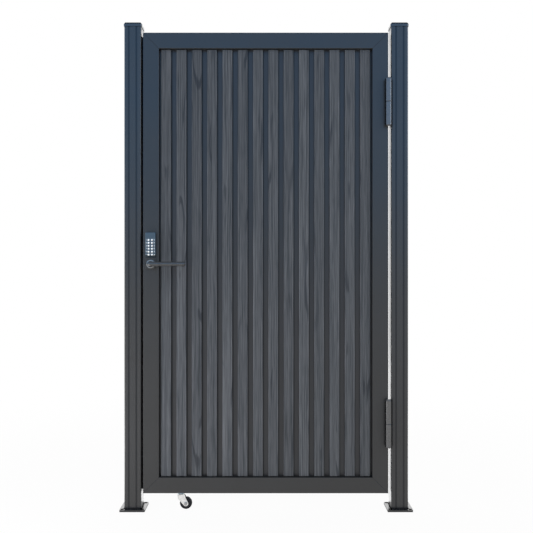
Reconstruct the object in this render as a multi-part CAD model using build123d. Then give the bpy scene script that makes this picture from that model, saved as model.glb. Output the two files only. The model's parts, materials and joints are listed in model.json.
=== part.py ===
from build123d import *
import math
import os

# Slatted privacy gate, in millimetres. The origin is the centre of the hinge post's foot, on the ground.
# X runs from the latch post towards the hinge post, -Y is the outer face and Z is up.

# Posts
GATE_HEIGHT = 2000
CLEAR_OPENING = 1024
POST_WIDTH = 70
POST_WALL = 3
POST_CORNER = 7
POST_HOLLOW_CORNER = 4
POST_GROOVE_WIDTH = 7
POST_GROOVE_DEPTH = 1.2
POST_GROOVE_OFFSET = 15.5

# Base plates
BASE_MARGIN = 17
BASE_THICKNESS = 8
BASE_CORNER = 6
BOLT_HOLE = 11
BOLT_EDGE = 11

# Post caps
CAP_OVERHANG = 2.5
CAP_SKIRT = 10
CAP_BEVEL = 6
CAP_BEVEL_INSET = 4.5
CAP_OVERLAP = 6
CAP_CLEARANCE = 0.25

# Leaf frame
LEAF_TOP_DROP = 42
LEAF_DEPTH = 54
LATCH_GAP = 7.5
HINGE_GAP = 12
STOP_REACH = 13.5
STOP_THICKNESS = 4
STOP_CLEARANCE = 5
FRAME_WIDTH = 65
FRAME_WALL = 2.5
FRAME_EDGE = 2
SHEET_POCKET = 9
SHEET_POCKET_WALL = 2

# Infill
SHEET_THICKNESS = 2
SHEET_CLEARANCE = 0.2
SHEET_END_GAP = 1
SLAT_COUNT = 14
SLAT_WIDTH = 40
SLAT_THICKNESS = 15
SLAT_EDGE = 1.5
SLAT_SIDE_GAP = 8
SLAT_END_GAP = 2.5

# Hinges
HINGE_INSET = 288
HINGE_AXIS_INSET = 1.5
KNUCKLE_DIAMETER = 28
KNUCKLE_LENGTH = 94
KNUCKLE_CHAMFER = 1
KNUCKLE_STANDOFF = 2
KNUCKLE_END_WALL = 8
FINIAL_HEIGHT = 4
FINIAL_DIAMETER = 20
FINIAL_ROUND = 2.5
HINGE_PLATE = 3
HINGE_PLATE_REACH = 44
HINGE_PLATE_CORNER = 8
PIN_DIAMETER = 12
PIN_CLEARANCE = 0.05
HINGE_WASHER = 1.5
HINGE_WASHER_INSET = 2
HINGE_SEAM = 0.3

# Keypad lock
HANDLE_HEIGHT = 1010
LOCK_WIDTH = 42
LOCK_CORNER = 5
LOCK_EDGE = 2
HANDLE_PLATE_HEIGHT = 50
HANDLE_PLATE_BELOW = 22
HANDLE_PLATE_DEPTH = 6
KEYPAD_HEIGHT = 101
KEYPAD_DEPTH = 17
KEYPAD_SLOPE = 9
BUTTON_ROWS = 6
BUTTON_PITCH = 12
BUTTON_COLUMN_SPACING = 14
BUTTON_DIAMETER = 8
BUTTON_STAND = 2
BUTTON_SEAT = 3
BUTTON_CLEARANCE = 0.3
BUTTON_MARGIN = 10.4
ROSE_DIAMETER = 41
ROSE_DEPTH = 3
RING_DIAMETER = 34
RING_DEPTH = 2.5
RING_ROUND = 1.5
LOCK_CASE_WIDTH = 46
LOCK_CASE_DEPTH = 16
LOCK_CASE_HEIGHT = 110
FOREND_WIDTH = 22
FOREND_HEIGHT = 170
FOREND_CLEARANCE = 0.15
LATCH_LENGTH = 20
LATCH_WIDTH = 12
LATCH_HEIGHT = 22
LATCH_BEVEL = 7
LATCH_CLEARANCE = 0.3
STRIKE_WIDTH = 24
STRIKE_HEIGHT = 120
STRIKE_THICKNESS = 1.5
STRIKE_CORNER = 6
STRIKE_SLOT_MARGIN = 3

# Lever handles
LEVER_DIAMETER = 19
LEVER_LENGTH = 147
LEVER_REACH = 57
LEVER_BEND = 13
LEVER_END_ROUND = 4
LEVER_NECK = 16
LEVER_GAP = 1
LEVER_SOCKET = 18
SPINDLE = 8
SPINDLE_CLEARANCE = 0.1
SPINDLE_HOLE = 13

# Castor
CASTOR_INSET = 152.5
CASTOR_TRAIL = 21
WHEEL_DIAMETER = 50
WHEEL_WIDTH = 16
WHEEL_HUB_DIAMETER = 38
WHEEL_BOSS_DIAMETER = 16
WHEEL_WEB = 8
WHEEL_CROWN_GAP = 6.2
TYRE_ROUND = 4
KINGPIN_DIAMETER = 10
KINGPIN_HEAD_DIAMETER = 16
KINGPIN_HEAD = 3
FORK_CROWN = 3
FORK_CROWN_WIDTH = 26
FORK_INSIDE = 24
FORK_LEG = 3
FORK_EYE_DIAMETER = 21
FORK_HEEL_DIAMETER = 8
FORK_HEEL_DROP = 12
FORK_HEEL_INSET = 1.5
FORK_SKIRT = 7
AXLE_DIAMETER = 8
AXLE_HEAD_DIAMETER = 14
AXLE_HEAD = 5
RACE_DIAMETER = 24
RACE_HEIGHT = 5.2
RACE_ROUND = 2
FLANGE_DIAMETER = 30
FLANGE_HEIGHT = 3
CASTOR_CLEARANCE = 0.3

# Places that follow from the sizes above
POST_FRONT = -POST_WIDTH / 2
HINGE_POST_INNER = -POST_WIDTH / 2
LATCH_POST_INNER = HINGE_POST_INNER - CLEAR_OPENING
LATCH_POST_X = LATCH_POST_INNER - POST_WIDTH / 2
BASE_WIDTH = POST_WIDTH + 2 * BASE_MARGIN
CAP_WIDTH = POST_WIDTH + 2 * CAP_OVERHANG
CAP_BOTTOM = GATE_HEIGHT - CAP_BEVEL - CAP_SKIRT
POST_TOP = CAP_BOTTOM + CAP_OVERLAP

KINGPIN_HEAD_BOTTOM = WHEEL_DIAMETER + WHEEL_CROWN_GAP
CROWN_BOTTOM = KINGPIN_HEAD_BOTTOM + KINGPIN_HEAD + CASTOR_CLEARANCE
RACE_BOTTOM = CROWN_BOTTOM + FORK_CROWN + CASTOR_CLEARANCE
FLANGE_BOTTOM = RACE_BOTTOM + RACE_HEIGHT

LEAF_BOTTOM = FLANGE_BOTTOM + FLANGE_HEIGHT
LEAF_TOP = GATE_HEIGHT - LEAF_TOP_DROP
LEAF_HEIGHT = LEAF_TOP - LEAF_BOTTOM
LEAF_RIGHT = HINGE_POST_INNER - HINGE_GAP
LEAF_LEFT = LATCH_POST_INNER + LATCH_GAP
LEAF_WIDTH = LEAF_RIGHT - LEAF_LEFT
LEAF_FRONT = POST_FRONT
LEAF_MID = LEAF_FRONT + LEAF_DEPTH / 2
LEAF_REAR = LEAF_FRONT + LEAF_DEPTH
INFILL_LEFT = LEAF_LEFT + FRAME_WIDTH
INFILL_WIDTH = LEAF_WIDTH - 2 * FRAME_WIDTH
INFILL_BOTTOM = LEAF_BOTTOM + FRAME_WIDTH
INFILL_HEIGHT = LEAF_HEIGHT - 2 * FRAME_WIDTH
SLAT_PITCH = (INFILL_WIDTH - 2 * SLAT_SIDE_GAP - SLAT_WIDTH) / (SLAT_COUNT - 1)

HINGE_X = LEAF_RIGHT - HINGE_AXIS_INSET
HINGE_Y = LEAF_FRONT - KNUCKLE_STANDOFF - KNUCKLE_DIAMETER / 2
HINGE_SEAMS = {"lower": LEAF_BOTTOM + HINGE_INSET, "upper": LEAF_TOP - HINGE_INSET}
LOCK_X = LEAF_LEFT + FRAME_WIDTH / 2
HANDLE_PLATE_BOTTOM = HANDLE_HEIGHT - HANDLE_PLATE_BELOW
KEYPAD_BOTTOM = HANDLE_PLATE_BOTTOM + HANDLE_PLATE_HEIGHT
CASTOR_X = LEAF_LEFT + CASTOR_INSET
WHEEL_X = CASTOR_X + CASTOR_TRAIL
AXLE_Z = WHEEL_DIAMETER / 2

UPRIGHT = (Align.CENTER, Align.CENTER, Align.MIN)


def block(low, high):
    """A box between two opposite corners."""
    size = [b - a for a, b in zip(low, high)]
    return Pos(*low) * Box(*size, align=(Align.MIN, Align.MIN, Align.MIN))


def upright_rod(x, y, bottom, top, diameter):
    """A round rod along Z."""
    return Pos(x, y, bottom) * Cylinder(diameter / 2, top - bottom, align=UPRIGHT)


def cross_rod(x, z, front, rear, diameter):
    """A round rod along Y, from front to rear."""
    return Pos(x, front, z) * Rot(-90, 0, 0) * Cylinder(diameter / 2, rear - front, align=UPRIGHT)


def post(x):
    """A square hollow post with two shallow grooves down its front and back."""
    section = RectangleRounded(POST_WIDTH, POST_WIDTH, POST_CORNER)
    hollow = POST_WIDTH - 2 * POST_WALL
    section -= RectangleRounded(hollow, hollow, POST_HOLLOW_CORNER)
    groove = Rectangle(POST_GROOVE_WIDTH, 2 * POST_GROOVE_DEPTH)
    for across in (-POST_GROOVE_OFFSET, POST_GROOVE_OFFSET):
        for face in (-POST_WIDTH / 2, POST_WIDTH / 2):
            section -= Pos(across, face) * groove
    return Pos(x, 0, BASE_THICKNESS) * extrude(section, POST_TOP - BASE_THICKNESS)


def strike_outline(clearance):
    """The strike's rounded outline on the latch post's inner face, facing the leaf."""
    facing = Plane((LATCH_POST_INNER, LEAF_MID, HANDLE_HEIGHT), x_dir=(0, 1, 0), z_dir=(1, 0, 0))
    width = STRIKE_WIDTH + 2 * clearance
    height = STRIKE_HEIGHT + 2 * clearance
    return facing * RectangleRounded(width, height, STRIKE_CORNER)


def latch_post():
    """The post that the leaf closes against, with a shallow seat for the strike."""
    return post(LATCH_POST_X) - extrude(strike_outline(FOREND_CLEARANCE), -STRIKE_THICKNESS)


def strike_plate():
    """The plate that the latch meets, let in level with the post's face, with a slot for the latch."""
    plate = extrude(strike_outline(0), -STRIKE_THICKNESS)
    half_width = LATCH_WIDTH / 2 + STRIKE_SLOT_MARGIN
    half_height = LATCH_HEIGHT / 2 + STRIKE_SLOT_MARGIN
    low = (LATCH_POST_INNER - STRIKE_THICKNESS, LEAF_MID - half_width, HANDLE_HEIGHT - half_height)
    return plate - block(low, (LATCH_POST_INNER, LEAF_MID + half_width, HANDLE_HEIGHT + half_height))


def latch_stop():
    """The strip on the latch post that the leaf's rear edge comes to rest before."""
    front = LEAF_REAR + STOP_CLEARANCE
    low = (LATCH_POST_INNER, front, LEAF_BOTTOM)
    return block(low, (LATCH_POST_INNER + STOP_REACH, front + STOP_THICKNESS, LEAF_TOP))


def base_plate(x):
    """A square foot plate with a bolt hole in each corner."""
    outline = RectangleRounded(BASE_WIDTH, BASE_WIDTH, BASE_CORNER)
    bolt_spacing = BASE_WIDTH - 2 * BOLT_EDGE
    outline -= GridLocations(bolt_spacing, bolt_spacing, 2, 2) * Circle(BOLT_HOLE / 2)
    return Pos(x, 0, 0) * extrude(outline, BASE_THICKNESS)


def post_cap(x):
    """A cap whose skirt fits over the post and whose top bevels in to a flat."""
    outline = RectangleRounded(CAP_WIDTH, CAP_WIDTH, POST_CORNER + CAP_OVERHANG)
    bevel_angle = math.degrees(math.atan2(CAP_BEVEL_INSET, CAP_BEVEL))
    cap = extrude(outline, CAP_SKIRT)
    cap += Pos(0, 0, CAP_SKIRT) * extrude(outline, CAP_BEVEL, taper=bevel_angle)
    socket = POST_WIDTH + 2 * CAP_CLEARANCE
    cap -= extrude(RectangleRounded(socket, socket, POST_CORNER), CAP_OVERLAP)
    return Pos(x, 0, CAP_BOTTOM) * cap


def frame_member(length):
    """A hollow mitred section along Z: outer edge at X = 0, with a pocket for the sheet in its inner edge."""
    pocket_gap = SHEET_THICKNESS + 2 * SHEET_CLEARANCE
    pocket_depth = SHEET_POCKET + SHEET_POCKET_WALL
    section = Pos(FRAME_WIDTH / 2, 0) * RectangleRounded(FRAME_WIDTH, LEAF_DEPTH, FRAME_EDGE)
    hollow = Rectangle(FRAME_WIDTH - 2 * FRAME_WALL, LEAF_DEPTH - 2 * FRAME_WALL)
    section -= Pos(FRAME_WIDTH / 2, 0) * hollow
    pocket = Rectangle(pocket_depth, pocket_gap + 2 * SHEET_POCKET_WALL)
    section += Pos(FRAME_WIDTH - pocket_depth / 2, 0) * pocket
    section -= Pos(FRAME_WIDTH, 0) * Rectangle(2 * SHEET_POCKET, pocket_gap)
    member = extrude(section, length)
    member = split(member, bisect_by=Plane((0, 0, 0), z_dir=(-1, 0, 1)), keep=Keep.TOP)
    return split(member, bisect_by=Plane((0, 0, length), z_dir=(-1, 0, -1)), keep=Keep.TOP)


def latch_stile():
    """The stile that takes the lock: bored for the spindle and cut for the forend."""
    stile = Pos(LEAF_LEFT, LEAF_MID, LEAF_BOTTOM) * frame_member(LEAF_HEIGHT)
    stile -= cross_rod(LOCK_X, HANDLE_HEIGHT, LEAF_FRONT, LEAF_REAR, SPINDLE_HOLE)
    width = FOREND_WIDTH / 2 + FOREND_CLEARANCE
    height = FOREND_HEIGHT / 2 + FOREND_CLEARANCE
    low = (LEAF_LEFT, LEAF_MID - width, HANDLE_HEIGHT - height)
    high = (LEAF_LEFT + FRAME_WALL, LEAF_MID + width, HANDLE_HEIGHT + height)
    return stile - block(low, high)


def hinge_stile():
    """The stile that carries the hinges."""
    return Pos(LEAF_RIGHT, LEAF_MID, LEAF_BOTTOM) * Rot(0, 0, 180) * frame_member(LEAF_HEIGHT)


def rail(z, inward):
    """A cross rail with its outer edge at height z and its pocket facing up or down."""
    along = Plane((LEAF_LEFT, LEAF_MID, z), x_dir=(0, 0, inward), z_dir=(1, 0, 0))
    return along.location * frame_member(LEAF_WIDTH)


def backing_sheet():
    """The sheet that closes the leaf, held in the frame's pocket all round."""
    reach = SHEET_POCKET - SHEET_END_GAP
    low = (INFILL_LEFT - reach, LEAF_MID - SHEET_THICKNESS / 2, INFILL_BOTTOM - reach)
    right = INFILL_LEFT + INFILL_WIDTH + reach
    high = (right, LEAF_MID + SHEET_THICKNESS / 2, INFILL_BOTTOM + INFILL_HEIGHT + reach)
    return block(low, high)


def slat(index):
    """One upright slat: a batten on each face of the sheet."""
    section = Rectangle(SLAT_WIDTH, SLAT_THICKNESS, align=(Align.CENTER, Align.MAX))
    section = fillet(section.vertices().sort_by(Axis.Y)[:2], SLAT_EDGE)
    centre = INFILL_LEFT + SLAT_SIDE_GAP + SLAT_WIDTH / 2 + index * SLAT_PITCH
    batten = extrude(section, INFILL_HEIGHT - 2 * SLAT_END_GAP)
    front = Pos(centre, LEAF_MID - SHEET_THICKNESS / 2, INFILL_BOTTOM + SLAT_END_GAP) * batten
    return front + mirror(front, about=Plane.XZ.offset(-LEAF_MID))


def knuckle(bottom, finial_up):
    """A hinge barrel with chamfered ends and a rounded finial on its closed end."""
    barrel = upright_rod(HINGE_X, HINGE_Y, bottom, bottom + KNUCKLE_LENGTH, KNUCKLE_DIAMETER)
    barrel = chamfer(barrel.edges().filter_by(GeomType.CIRCLE), KNUCKLE_CHAMFER)
    finial_bottom = bottom + KNUCKLE_LENGTH if finial_up else bottom - FINIAL_HEIGHT
    finial = upright_rod(HINGE_X, HINGE_Y, finial_bottom, finial_bottom + FINIAL_HEIGHT, FINIAL_DIAMETER)
    rims = finial.edges().filter_by(GeomType.CIRCLE).sort_by(Axis.Z)
    return barrel + fillet(rims[-1] if finial_up else rims[0], FINIAL_ROUND)


def hinge_plate(left, bottom):
    """A hinge plate in the gap beside the leaf, from the barrel back, with rounded rear corners."""
    rear = LEAF_FRONT + HINGE_PLATE_REACH
    plate = block((left, HINGE_Y, bottom), (left + HINGE_PLATE, rear, bottom + KNUCKLE_LENGTH))
    return fillet(plate.edges().filter_by(Axis.X).group_by(Axis.Y)[-1], HINGE_PLATE_CORNER)


def pin_bore(bottom, top):
    """The hole that the hinge pin runs in."""
    return upright_rod(HINGE_X, HINGE_Y, bottom, top, PIN_DIAMETER + 2 * PIN_CLEARANCE)


def hinge_post_half(seam):
    """The lower knuckle, on a plate against the post's inner face."""
    bottom = seam - KNUCKLE_LENGTH
    half = knuckle(bottom, finial_up=False) + hinge_plate(HINGE_POST_INNER - HINGE_PLATE, bottom)
    half += block((HINGE_X, HINGE_Y, bottom), (HINGE_POST_INNER, HINGE_Y + HINGE_PLATE, seam))
    return half - pin_bore(bottom + KNUCKLE_END_WALL, seam)


def hinge_leaf_half(seam):
    """The upper knuckle, on a plate against the leaf's edge."""
    bottom = seam + HINGE_WASHER + HINGE_SEAM
    half = knuckle(bottom, finial_up=True) + hinge_plate(LEAF_RIGHT, bottom)
    return half - pin_bore(bottom, bottom + KNUCKLE_LENGTH - KNUCKLE_END_WALL)


def hinge_pin(seam):
    """A pin with a washer collar that the upper knuckle turns on."""
    reach = KNUCKLE_LENGTH - KNUCKLE_END_WALL - HINGE_SEAM
    pin = upright_rod(HINGE_X, HINGE_Y, seam - reach, seam + HINGE_WASHER + reach, PIN_DIAMETER)
    washer = KNUCKLE_DIAMETER - 2 * HINGE_WASHER_INSET
    return pin + upright_rod(HINGE_X, HINGE_Y, seam, seam + HINGE_WASHER, washer)


def lock_housing(bottom, height, depth):
    """A rounded housing on the stile's front face, with its front edges eased."""
    facing = Plane((LOCK_X, LEAF_FRONT, bottom + height / 2), x_dir=(1, 0, 0), z_dir=(0, -1, 0))
    body = facing.location * extrude(RectangleRounded(LOCK_WIDTH, height, LOCK_CORNER), depth)
    return fillet(body.faces().sort_by(Axis.Y)[0].edges(), LOCK_EDGE)


def handle_rose(plate):
    """A plate with a stepped round rose, bored for the lever's neck."""
    rose_front = LEAF_FRONT - HANDLE_PLATE_DEPTH - ROSE_DEPTH
    ring_front = rose_front - RING_DEPTH
    ring = cross_rod(LOCK_X, HANDLE_HEIGHT, ring_front, LEAF_FRONT, RING_DIAMETER)
    ring = fillet(ring.edges().filter_by(GeomType.CIRCLE).sort_by(Axis.Y)[0], RING_ROUND)
    plate += cross_rod(LOCK_X, HANDLE_HEIGHT, rose_front, LEAF_FRONT, ROSE_DIAMETER)
    plate += ring
    return plate - cross_rod(LOCK_X, HANDLE_HEIGHT, ring_front, LEAF_FRONT, LEVER_NECK + 2 * PIN_CLEARANCE)


def button_places():
    """Centres of the keypad's buttons, two to a row."""
    centres = []
    for row in range(BUTTON_ROWS):
        z = KEYPAD_BOTTOM + BUTTON_MARGIN + row * BUTTON_PITCH
        for across in (-BUTTON_COLUMN_SPACING / 2, BUTTON_COLUMN_SPACING / 2):
            centres.append((LOCK_X + across, z))
    return centres


def keypad_body():
    """The keypad's housing: a slope down to the handle plate and a seat for each button."""
    face = LEAF_FRONT - KEYPAD_DEPTH
    body = lock_housing(KEYPAD_BOTTOM, KEYPAD_HEIGHT, KEYPAD_DEPTH)
    step = KEYPAD_DEPTH - HANDLE_PLATE_DEPTH
    slope_start = (LOCK_X, LEAF_FRONT - HANDLE_PLATE_DEPTH, KEYPAD_BOTTOM)
    body = split(body, bisect_by=Plane(slope_start, z_dir=(0, KEYPAD_SLOPE, step)), keep=Keep.TOP)
    for x, z in button_places():
        body -= cross_rod(x, z, face, face + BUTTON_SEAT, BUTTON_DIAMETER + 2 * BUTTON_CLEARANCE)
    return body


def keypad_buttons():
    """Round push buttons, each standing on the floor of its seat."""
    face = LEAF_FRONT - KEYPAD_DEPTH
    buttons = []
    for x, z in button_places():
        buttons.append(cross_rod(x, z, face - BUTTON_STAND, face + BUTTON_SEAT, BUTTON_DIAMETER))
    return Compound(children=buttons)


def mirrored_inside(shape):
    """The same shape on the leaf's inner face."""
    return mirror(shape, about=Plane.XZ.offset(-LEAF_MID))


def lever():
    """The outer lever: a neck in the rose, a bend and a round bar towards the hinges."""
    bar_y = LEAF_FRONT - LEVER_REACH
    neck_front = LEAF_FRONT - HANDLE_PLATE_DEPTH - ROSE_DEPTH - RING_DEPTH - LEVER_GAP
    start = (LOCK_X, neck_front, HANDLE_HEIGHT)
    corner = (LOCK_X, bar_y, HANDLE_HEIGHT)
    end = (LOCK_X + LEVER_LENGTH, bar_y, HANDLE_HEIGHT)
    path = FilletPolyline(start, corner, end, radius=LEVER_BEND)
    section = Plane(start, z_dir=(0, -1, 0)) * Circle(LEVER_DIAMETER / 2)
    bar = sweep(section, path=path)
    tip = bar.edges().filter_by(GeomType.CIRCLE).sort_by(Axis.X)[-1]
    bar = fillet(tip, LEVER_END_ROUND)
    neck_rear = LEAF_FRONT - LEVER_GAP
    bar += cross_rod(LOCK_X, HANDLE_HEIGHT, neck_front, neck_rear, LEVER_NECK)
    half = SPINDLE / 2 + SPINDLE_CLEARANCE
    low = (LOCK_X - half, neck_rear - LEVER_SOCKET, HANDLE_HEIGHT - half)
    return bar - block(low, (LOCK_X + half, neck_rear, HANDLE_HEIGHT + half))


def spindle():
    """The square bar that joins the two levers through the stile."""
    half = SPINDLE / 2
    front = LEAF_FRONT - LEVER_GAP - LEVER_SOCKET + SPINDLE_CLEARANCE
    rear = LEAF_REAR + LEVER_GAP + LEVER_SOCKET - SPINDLE_CLEARANCE
    low = (LOCK_X - half, front, HANDLE_HEIGHT - half)
    return block(low, (LOCK_X + half, rear, HANDLE_HEIGHT + half))


def lock_case():
    """The lock inside the stile: its case and the forend that closes the stile's edge."""
    low = (LEAF_LEFT, LEAF_MID - FOREND_WIDTH / 2, HANDLE_HEIGHT - FOREND_HEIGHT / 2)
    high = (LEAF_LEFT + FRAME_WALL, LEAF_MID + FOREND_WIDTH / 2, HANDLE_HEIGHT + FOREND_HEIGHT / 2)
    case = block(low, high)
    low = (LEAF_LEFT, LEAF_MID - LOCK_CASE_DEPTH / 2, HANDLE_HEIGHT - LOCK_CASE_HEIGHT / 2)
    high = (LEAF_LEFT + LOCK_CASE_WIDTH, LEAF_MID + LOCK_CASE_DEPTH / 2, HANDLE_HEIGHT + LOCK_CASE_HEIGHT / 2)
    case += block(low, high)
    case -= cross_rod(LOCK_X, HANDLE_HEIGHT, LEAF_FRONT, LEAF_REAR, SPINDLE_HOLE)
    return case - latch_block(LATCH_CLEARANCE)


def latch_block(clearance):
    """The latch's plain outline, grown by a clearance."""
    half_width = LATCH_WIDTH / 2 + clearance
    half_height = LATCH_HEIGHT / 2 + clearance
    rear = LEAF_LEFT + LATCH_LENGTH + clearance
    low = (LEAF_LEFT, LEAF_MID - half_width, HANDLE_HEIGHT - half_height)
    return block(low, (rear, LEAF_MID + half_width, HANDLE_HEIGHT + half_height))


def latch_bolt():
    """The latch, drawn back level with the forend, with its nose bevelled on the closing side."""
    latch = latch_block(0)
    nose = latch.edges().filter_by(Axis.Z).group_by(Axis.X)[0].sort_by(Axis.Y)[-1]
    return chamfer(nose, LATCH_BEVEL)


def castor_head():
    """The fixed half of the castor: flange, ball race and the kingpin with its head."""
    head = upright_rod(CASTOR_X, LEAF_MID, FLANGE_BOTTOM, LEAF_BOTTOM, FLANGE_DIAMETER)
    race = upright_rod(CASTOR_X, LEAF_MID, RACE_BOTTOM, FLANGE_BOTTOM, RACE_DIAMETER)
    head += fillet(race.edges().filter_by(GeomType.CIRCLE).sort_by(Axis.Z)[0], RACE_ROUND)
    head += upright_rod(CASTOR_X, LEAF_MID, KINGPIN_HEAD_BOTTOM, FLANGE_BOTTOM, KINGPIN_DIAMETER)
    head_top = KINGPIN_HEAD_BOTTOM + KINGPIN_HEAD
    return head + upright_rod(CASTOR_X, LEAF_MID, KINGPIN_HEAD_BOTTOM, head_top, KINGPIN_HEAD_DIAMETER)


def castor_fork():
    """The swivelling fork: a crown with a skirt at its heel and two legs that slant back to the axle."""
    crown_top = CROWN_BOTTOM + FORK_CROWN
    half_width = FORK_INSIDE / 2 + FORK_LEG
    half_crown = FORK_CROWN_WIDTH / 2
    low = (CASTOR_X - half_crown, LEAF_MID - half_width, CROWN_BOTTOM)
    fork = block(low, (CASTOR_X + half_crown, LEAF_MID + half_width, crown_top))
    skirt_right = CASTOR_X - half_crown + FORK_CROWN
    low = (CASTOR_X - half_crown, LEAF_MID - FORK_INSIDE / 2, CROWN_BOTTOM - FORK_SKIRT)
    fork += block(low, (skirt_right, LEAF_MID + FORK_INSIDE / 2, crown_top))
    shoulder = Pos(CASTOR_X, CROWN_BOTTOM + FORK_CROWN / 2) * Rectangle(FORK_CROWN_WIDTH, FORK_CROWN)
    heel_x = CASTOR_X - half_crown + FORK_HEEL_INSET + FORK_HEEL_DIAMETER / 2
    heel = Pos(heel_x, CROWN_BOTTOM - FORK_HEEL_DROP) * Circle(FORK_HEEL_DIAMETER / 2)
    eye = Pos(WHEEL_X, AXLE_Z) * Circle(FORK_EYE_DIAMETER / 2)
    outline = make_hull(shoulder.edges() + heel.edges() + eye.edges())
    leg = extrude(Plane.XZ * outline, FORK_LEG)
    fork += Pos(0, LEAF_MID - FORK_INSIDE / 2, 0) * leg
    fork += Pos(0, LEAF_MID + half_width, 0) * leg
    front = LEAF_MID - half_width
    rear = LEAF_MID + half_width
    fork -= cross_rod(WHEEL_X, AXLE_Z, front, rear, AXLE_DIAMETER + 2 * PIN_CLEARANCE)
    kingpin_hole = KINGPIN_DIAMETER + 2 * PIN_CLEARANCE
    return fork - upright_rod(CASTOR_X, LEAF_MID, CROWN_BOTTOM, crown_top, kingpin_hole)


def castor_axle():
    """The axle bolt with its hexagon head and nut outside the legs."""
    outer = FORK_INSIDE / 2 + FORK_LEG
    reach = outer + AXLE_HEAD
    axle = cross_rod(WHEEL_X, AXLE_Z, LEAF_MID - reach, LEAF_MID + reach, AXLE_DIAMETER)
    hexagon = extrude(Plane.XZ * RegularPolygon(AXLE_HEAD_DIAMETER / 2, 6), AXLE_HEAD)
    axle += Pos(WHEEL_X, LEAF_MID - outer, AXLE_Z) * hexagon
    return axle + Pos(WHEEL_X, LEAF_MID + reach, AXLE_Z) * hexagon


def castor_hub():
    """The wheel's hub: a rim for the tyre, a thinner web and a boss between the legs."""
    boss = FORK_INSIDE - 2 * CASTOR_CLEARANCE
    rim_depth = (WHEEL_HUB_DIAMETER - WHEEL_BOSS_DIAMETER) / 4
    front = LEAF_MID - WHEEL_WIDTH / 2
    rear = LEAF_MID + WHEEL_WIDTH / 2
    hub = cross_rod(WHEEL_X, AXLE_Z, front, rear, WHEEL_HUB_DIAMETER)
    dish = WHEEL_HUB_DIAMETER - 2 * rim_depth
    hub -= cross_rod(WHEEL_X, AXLE_Z, front, LEAF_MID - WHEEL_WEB / 2, dish)
    hub -= cross_rod(WHEEL_X, AXLE_Z, LEAF_MID + WHEEL_WEB / 2, rear, dish)
    hub += cross_rod(WHEEL_X, AXLE_Z, LEAF_MID - boss / 2, LEAF_MID + boss / 2, WHEEL_BOSS_DIAMETER)
    bore = AXLE_DIAMETER + 2 * PIN_CLEARANCE
    return hub - cross_rod(WHEEL_X, AXLE_Z, LEAF_MID - boss / 2, LEAF_MID + boss / 2, bore)


def castor_tyre():
    """The tyre, a ring with a rounded tread."""
    front = LEAF_MID - WHEEL_WIDTH / 2
    rear = LEAF_MID + WHEEL_WIDTH / 2
    tyre = cross_rod(WHEEL_X, AXLE_Z, front, rear, WHEEL_DIAMETER)
    tyre = fillet(tyre.edges().filter_by(GeomType.CIRCLE), TYRE_ROUND)
    return tyre - cross_rod(WHEEL_X, AXLE_Z, front, rear, WHEEL_HUB_DIAMETER + 2 * PIN_CLEARANCE)


def gate_parts():
    """Every piece of the gate by name."""
    handle_plate = lock_housing(HANDLE_PLATE_BOTTOM, HANDLE_PLATE_HEIGHT, HANDLE_PLATE_DEPTH)
    inside_height = HANDLE_PLATE_HEIGHT + KEYPAD_HEIGHT
    inside_plate = lock_housing(HANDLE_PLATE_BOTTOM, inside_height, HANDLE_PLATE_DEPTH)
    outer_lever = lever()
    parts = {
        "hinge_post": post(0),
        "latch_post": latch_post(),
        "strike_plate": strike_plate(),
        "latch_stop": latch_stop(),
        "hinge_post_base": base_plate(0),
        "latch_post_base": base_plate(LATCH_POST_X),
        "hinge_post_cap": post_cap(0),
        "latch_post_cap": post_cap(LATCH_POST_X),
        "latch_stile": latch_stile(),
        "hinge_stile": hinge_stile(),
        "bottom_rail": rail(LEAF_BOTTOM, 1),
        "top_rail": rail(LEAF_TOP, -1),
        "backing_sheet": backing_sheet(),
        "handle_plate": handle_rose(handle_plate),
        "inside_plate": mirrored_inside(handle_rose(inside_plate)),
        "keypad_body": keypad_body(),
        "keypad_buttons": keypad_buttons(),
        "lock_case": lock_case(),
        "latch_bolt": latch_bolt(),
        "outer_lever": outer_lever,
        "inside_lever": mirrored_inside(outer_lever),
        "spindle": spindle(),
        "castor_head": castor_head(),
        "castor_fork": castor_fork(),
        "castor_axle": castor_axle(),
        "castor_hub": castor_hub(),
        "castor_tyre": castor_tyre(),
    }
    for index in range(SLAT_COUNT):
        parts[f"slat_{index + 1:02d}"] = slat(index)
    for name, seam in HINGE_SEAMS.items():
        parts[f"{name}_hinge_post_half"] = hinge_post_half(seam)
        parts[f"{name}_hinge_leaf_half"] = hinge_leaf_half(seam)
        parts[f"{name}_hinge_pin"] = hinge_pin(seam)
    return parts


os.makedirs("parts", exist_ok=True)
for name, shape in gate_parts().items():
    export_step(shape, f"parts/{name}.step")
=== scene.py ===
"""Looks for a slatted privacy gate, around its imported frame. Metres, in the frame's own axes."""

import json
import math

import bmesh
import bpy
from mathutils import Matrix, Vector

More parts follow.
